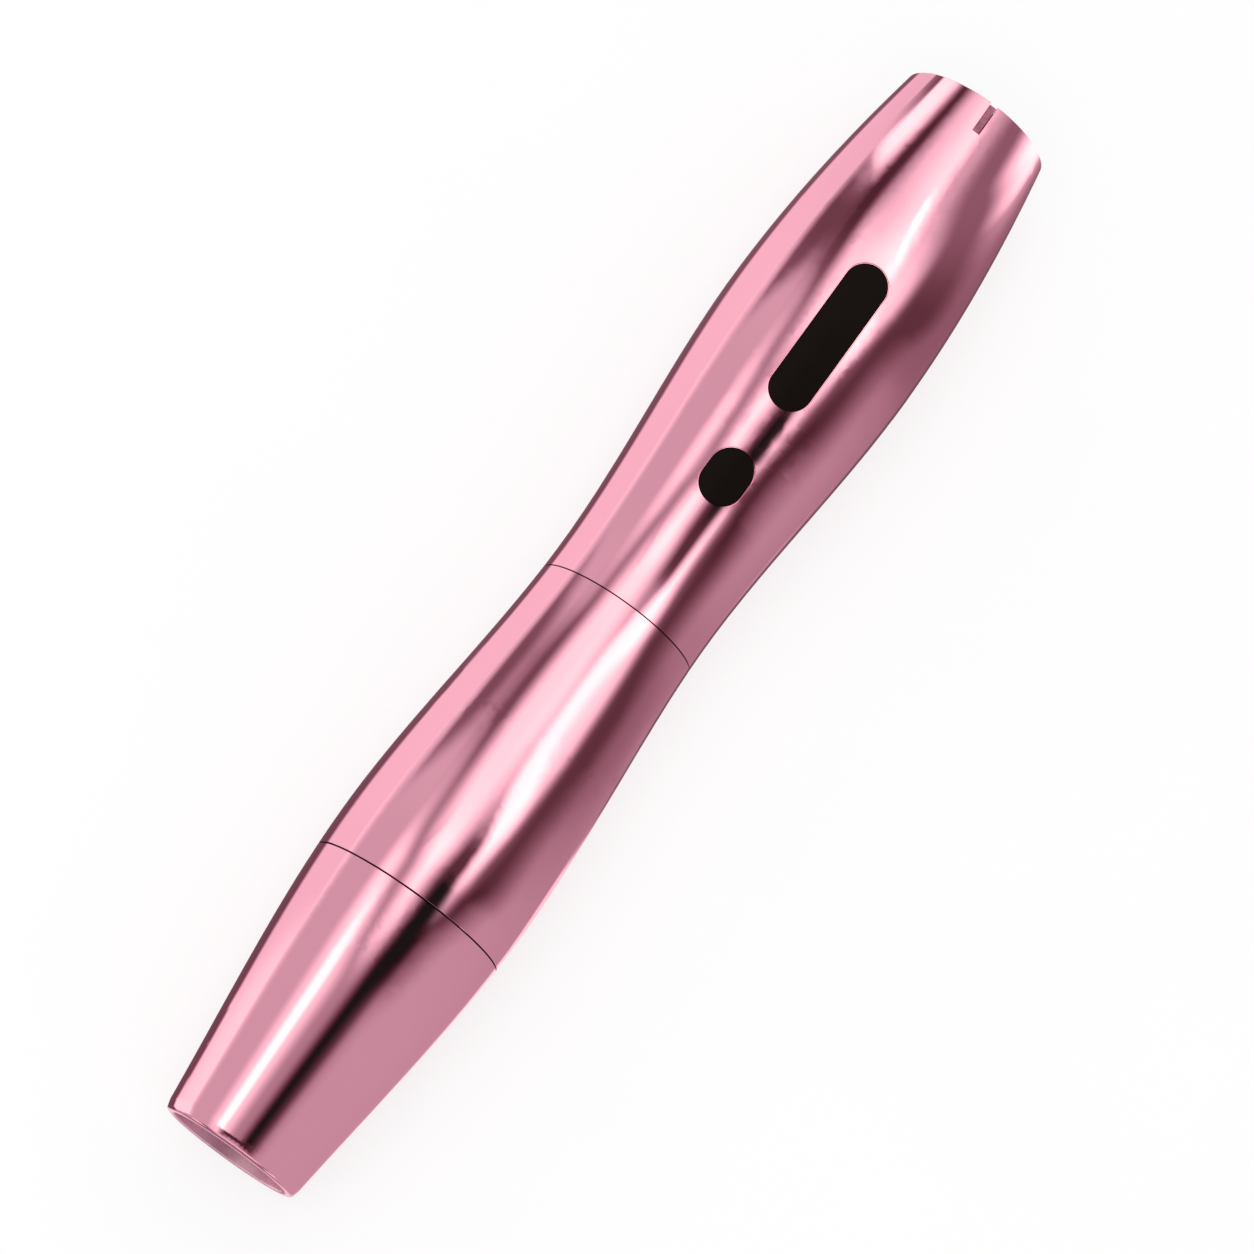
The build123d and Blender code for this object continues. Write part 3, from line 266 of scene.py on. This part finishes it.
# Name, right edge and its softness, left edge and its softness, level, and cover. Angles in degrees,
# and a list holds (angle along the pen, value) points. Later panels stand before earlier ones. The
# numbers were fitted so that the metal mirrors what it does in the photograph.
PANELS = (
    ("overhead cloth", -EVERYWHERE, 1.0, EVERYWHERE, 1.0,
     [(-6, 1.54), (0, 1.86), (6, 2.1), (14, 1.75), (22, 1.5), (34, 0.8), (55, 1.0)], 1.0),
    ("right wall", -EVERYWHERE, 1.0, [(-6, -5), (4, -30), (12, -37), (20, -50), (34, -59)], 8.4,
     [(-6, 0.6), (0, 0.59), (6, 0.54), (14, 0.4), (20, 0.22), (27, 0.6), (32, 2.4), (38, 2.2), (43, 0.7)],
     1.0),
    ("left cloth", [(-6, 50), (14, 47), (28, 55)], 10.3, 97.0, 11.9,
     [(-6, 0.68), (8, 0.69), (15, 0.73), (20, 0.51), (24, 0.18), (28, 0.46), (31, 2.0), (45, 1.0)], 1.0),
    ("left reflector", 96.0, 2.6, EVERYWHERE, 1.0,
     [(-8, 1.5), (-2, 1.41), (3, 1.02), (16, 1.05), (34, 0.94)], 1.0),
    ("left foot", [(-2, 139), (10, 141), (26, 148)], 4.5, EVERYWHERE, 1.0,
     [(-4, 0.12), (4, 0.12), (20, 0.17)], 1.0),
    ("cloth hem", [(10, 85), (24, 64)], 10.2, [(10, 85), (24, 89)], 4.0, 0.09,
     [(8, 0.0), (15, 0.7), (24, 0.9), (28, 0.0)]),
    ("reflector hem", 91.0, 3.5, 108.0, 1.5, 0.08, [(28, 0.0), (35, 1.0), (45, 1.0), (55, 0.0)]),
    ("strip lamp", [(-6, 31), (4, 34), (12, 22)], 2.8, [(-6, 42.5), (4, 37.4), (12, 26)], 3.6,
     [(-6, 2.42), (1, 2.5), (6, 2.0), (10, 1.3)], [(10, 1.0), (16, 0.0)]),
    ("left flag",
     [(-6, 2), (-2, 12), (2, 16), (6, 19.6), (10, 25), (14, 28), (18, 32), (22, 36), (28, 40), (38, 38)],
     11.0,
     [(-6, 23), (-2, 30), (2, 36), (6, 40), (10, 46), (14, 49), (18, 52), (22, 62), (28, 67), (38, 61)],
     11.3,
     [(-6, 0.52), (8, 0.42), (14, 0.39), (18, 0.24), (22, 0.1), (28, 0.04), (42, 0.06), (50, 0.3)],
     [(42, 1.0), (55, 0.0)]),
    ("key lamp", [(8, -34), (12, -36), (16, -40), (22, -24), (28, -19), (34, -12)], 8.6,
     [(8, -20), (16, -19), (22, -6), (28, 5), (34, 18)], 30.0, [(6, 2.7), (20, 2.66), (34, 1.8)],
     [(5, 0.0), (10, 1.0)]),
    ("camera stand", [(-6, -26.5), (4, -24.5), (12, -24), (22, -7.4)], 6.5,
     [(-6, 2), (4, 4.5), (12, -1)], 11.9,
     [(-22, 0.15), (-6, 0.2), (6, 0.06), (10, 0.06), (14, 0.45), (18, 0.74), (22, 0.8)],
     [(20, 1.0), (26, 0.0)]),
    ("right flag",
     [(-6, -24), (-2, -37), (2, -44), (6, -60), (10, -76), (14, -75), (18, -79), (22, -106), (26, -103),
      (30, -97), (34, -80)], 22.0,
     [(-6, 3), (-2, 0.5), (2, -16), (6, -30), (10, -35), (14, -40), (18, -44), (22, -50), (26, -47),
      (34, -32)], 16.5,
     [(-6, 0.004), (4, 0.004), (10, 0.06), (22, 0.07), (28, 0.19), (34, 0.22)], [(42, 1.0), (55, 0.0)]),
    ("lamp tube", [(22, -25), (26, -17), (28, -13), (32, -9)], 3.0,
     [(22, -18), (26, -10), (28, -6), (32, -2)], 3.0, 2.6, [(22, 0.0), (25, 0.8), (29, 1.0), (33, 0.0)]),
    ("right foot", -EVERYWHERE, 1.0, -152.0, 5.0, 0.13, [(11, 0.0), (13, 1.0), (20, 1.0), (24, 0.0)]),
    ("right edge", -EVERYWHERE, 1.0, [(3, -157), (7, -151), (11, -143)], 3.0,
     [(-8, 0.9), (0, 1.0), (5, 1.2)], [(11, 1.0), (13, 0.0)]),
    ("left edge", 173.0, 2.0, EVERYWHERE, 1.0, 0.95, [(-2, 1.0), (1, 0.0)]),
    ("front trim", -8.0, 6.0, 40.0, 14.0, 0.03, [(-28, 0.0), (-25, 1.0), (-22.5, 1.0), (-19, 0.0)]),
    ("front wall", -EVERYWHERE, 1.0, EVERYWHERE, 1.0, [(-30, 0.6), (-24, 0.63)], [(-28, 1.0), (-24, 0.0)]),
    ("front cloth", -50.0, 16.0, 50.0, 16.0, 1.05, FRONT),
    ("front flag left", 62.0, 9.0, 80.0, 6.0, 0.16, FRONT),
    ("front flag right", -80.0, 6.0, -62.0, 9.0, 0.16, FRONT),
    ("front strip left", 87.0, 4.0, 104.0, 3.0, 1.45, FRONT),
    ("front strip right", -104.0, 3.0, -87.0, 4.0, 1.45, FRONT),
    ("front foot left", 142.0, 9.0, EVERYWHERE, 1.0, 0.16, FRONT),
    ("front foot right", -EVERYWHERE, 1.0, -142.0, 9.0, 0.16, FRONT),
    ("front corner", -EVERYWHERE, 1.0, EVERYWHERE, 1.0, 0.3, [(-60, 1.0), (-56, 0.0)]),
)

# The photograph's camera, mirrored nearly black: its edges, their softness and its cover, as above
CAMERA_CORE = ([(-8, -17.6), (4, -25.8), (10, -4)], 8.6, [(-8, -7), (4, -7.4), (10, -14.5)], 3.8,
               [(-13, 0.0), (-8, 1.0), (8, 1.0), (12, 0.0)])
CORE_COLOUR = (0.011, 0.016, 0.013, 1.0)

# Powers that turn a level into red and blue: dim panels come out warmer
RED_AT_DARK, RED_RISE = 0.76, 0.24
BLUE_DIM, BLUE_BRIGHT = 0.92, 0.75

ROOM_LIGHT = (0.55, 0.55, 0.55, 1.0)
BACKGROUND = (0.975, 0.975, 0.975, 1.0)


def seen_directly(tree, path):
    """1 for rays that show the background plain: from the camera, or through something clear."""
    return math_node(tree, "MAXIMUM", path["Is Camera Ray"], path["Is Transmission Ray"])


def studio():
    """A room painted in bands round the pen, for glossy rays alone: each panel runs between two
    angles round the pen's length, 0 straight up and 90 to the left, and a list gives how that
    changes along the length."""
    world = bpy.data.worlds.new("studio")
    bpy.context.scene.world = world
    world.use_nodes = True
    tree = world.node_tree
    tree.nodes.clear()
    way = add(tree, "ShaderNodeTexCoord").outputs["Generated"]
    axes = add(tree, "ShaderNodeSeparateXYZ", {0: way}).outputs
    around = math_node(tree, "MULTIPLY", math_node(tree, "ARCTAN2", axes[1], axes[2]), math.degrees(1.0))
    along = math_node(tree, "MULTIPLY", math_node(tree, "ARCSINE", axes[0]), math.degrees(1.0))
    share = spread(tree, along, 0.0, 1.0, LOW, HIGH)

    def follow(points, floor, top):
        if not isinstance(points, (list, tuple)):
            return points
        made = add(tree, "ShaderNodeFloatCurve", {"Value": share})
        curve = made.mapping.curves[0]
        spots = [((a - LOW) / (HIGH - LOW), (v - floor) / (top - floor)) for a, v in points]
        spots = [(0.0, spots[0][1])] + spots + [(1.0, spots[-1][1])]
        curve.points[0].location = spots[0]
        curve.points[-1].location = spots[-1]
        for spot in spots[1:-1]:
            curve.points.new(*spot)
        for point in curve.points:
            point.handle_type = "AUTO_CLAMPED"
        made.mapping.update()
        return spread(tree, made.outputs[0], floor, top)

    def mask(right, right_soft, left, left_soft, cover):
        past = math_node(tree, "SUBTRACT", around, follow(right, -180.0, 180.0))
        before = math_node(tree, "SUBTRACT", follow(left, -180.0, 180.0), around)
        inside = spread(tree, past, 0.0, 1.0, -right_soft, right_soft, soft=True)
        under = spread(tree, before, 0.0, 1.0, -left_soft, left_soft, soft=True)
        both = math_node(tree, "MULTIPLY", inside, under)
        return math_node(tree, "MULTIPLY", both, follow(cover, 0.0, 1.0))

    bright = 1.0
    for name, right, right_soft, left, left_soft, level, cover in PANELS:
        lit = follow(level, 0.0, BRIGHTEST)
        where = mask(right, right_soft, left, left_soft, cover)
        bright = blend_value(tree, where, bright, lit, label=name)

    # The dimmer the panel, the warmer it is, as cloth lit by the pink metal
    warmth = math_node(tree, "MINIMUM", math_node(tree, "MULTIPLY_ADD", bright, RED_RISE, RED_AT_DARK), 1.0)
    red = math_node(tree, "POWER", bright, warmth)
    blue = math_node(tree, "MINIMUM", math_node(tree, "POWER", bright, BLUE_DIM),
                     math_node(tree, "POWER", bright, BLUE_BRIGHT))
    room = add(tree, "ShaderNodeCombineColor", {0: red, 1: bright, 2: blue}).outputs[0]
    room = blend_colour(tree, mask(*CAMERA_CORE), room, CORE_COLOUR)

    path = add(tree, "ShaderNodeLightPath").outputs
    plain = blend_colour(tree, seen_directly(tree, path), ROOM_LIGHT, BACKGROUND)
    colour = blend_colour(tree, path["Is Glossy Ray"], plain, room)
    light = add(tree, "ShaderNodeBackground", {"Color": colour, "Strength": 1.0})
    add(tree, "ShaderNodeOutputWorld", {"Surface": light.outputs[0]})


studio()


# Floor: plain paper just under the pen, lit up to the background for the camera

FLOOR_HALF = 1.6
FLOOR_DROP = 0.05 * MM
PAPER_DEEP, PAPER_PALE = (0.33, 0.33, 0.33, 1.0), (0.35, 0.35, 0.35, 1.0)
PAPER_CLOUD_SCALE = 0.02
FLOOR_GLOW = 0.708


def floor_sheet():
    mesh = bpy.data.meshes.new("floor")
    corners = [(-FLOOR_HALF, -FLOOR_HALF), (FLOOR_HALF, -FLOOR_HALF), (FLOOR_HALF, FLOOR_HALF),
               (-FLOOR_HALF, FLOOR_HALF)]
    mesh.from_pydata([(x, y, -FLOOR_DROP) for x, y in corners], [], [(0, 1, 2, 3)])
    sheet = bpy.data.objects.new("floor", mesh)
    bpy.context.scene.collection.objects.link(sheet)
    material = bpy.data.materials.new("floor_paper")
    material.use_nodes = True
    tree = material.node_tree
    tree.nodes.clear()
    grain = noise(tree, place(tree), PAPER_CLOUD_SCALE)
    dull = add(tree, "ShaderNodeBsdfDiffuse", {"Color": blend_colour(tree, grain, PAPER_DEEP, PAPER_PALE)})
    path = add(tree, "ShaderNodeLightPath").outputs
    strength = math_node(tree, "MULTIPLY", seen_directly(tree, path), FLOOR_GLOW)
    glow = add(tree, "ShaderNodeEmission", {"Strength": strength})
    both = add(tree, "ShaderNodeAddShader", {0: dull.outputs[0], 1: glow.outputs[0]})
    add(tree, "ShaderNodeOutputMaterial", {"Surface": both.outputs[0]})
    mesh.materials.append(material)
    sheet.visible_glossy = False


floor_sheet()


# Soft lamp, aimed at the pen, in metres and watts

LAMP_LENGTH, LAMP_WIDTH = 0.9, 0.7
LAMP_POWER = 3.6
LAMP_PLACE = (-0.1, 0.15, 0.95)

lamp_data = bpy.data.lights.new("overhead", "AREA")
lamp_data.shape = "RECTANGLE"
lamp_data.size = LAMP_LENGTH
lamp_data.size_y = LAMP_WIDTH
lamp_data.energy = LAMP_POWER
lamp = bpy.data.objects.new("overhead", lamp_data)
lamp.location = LAMP_PLACE
lamp.rotation_euler = (-lamp.location).to_track_quat("-Z", "Y").to_euler()
lamp.visible_glossy = False
lamp.visible_camera = False
bpy.context.scene.collection.objects.link(lamp)


# Camera, fitted to the photograph: its lens and sensor, its axes and its place, in millimetres

LENS, SENSOR = 137.8, 36.0
CAMERA_RIGHT = Vector((0.57131, -0.79968, 0.18468))
CAMERA_UP = Vector((0.78937, 0.59700, 0.14312))
CAMERA_BACK = Vector((-0.22471, 0.06401, 0.97232))
CAMERA_PLACE = Vector((-119.55, 32.74, 532.28))

camera_data = bpy.data.cameras.new("camera")
camera_data.sensor_fit = "HORIZONTAL"
camera_data.sensor_width = SENSOR
camera_data.lens = LENS
camera_data.clip_start = 0.01
camera_data.clip_end = 20.0
camera = bpy.data.objects.new("camera", camera_data)
turn = Matrix((CAMERA_RIGHT, CAMERA_UP, CAMERA_BACK)).transposed().to_4x4()
camera.matrix_world = Matrix.Translation(CAMERA_PLACE * MM) @ turn
bpy.context.scene.collection.objects.link(camera)
bpy.context.scene.camera = camera

bpy.context.scene.view_settings.view_transform = "Standard"
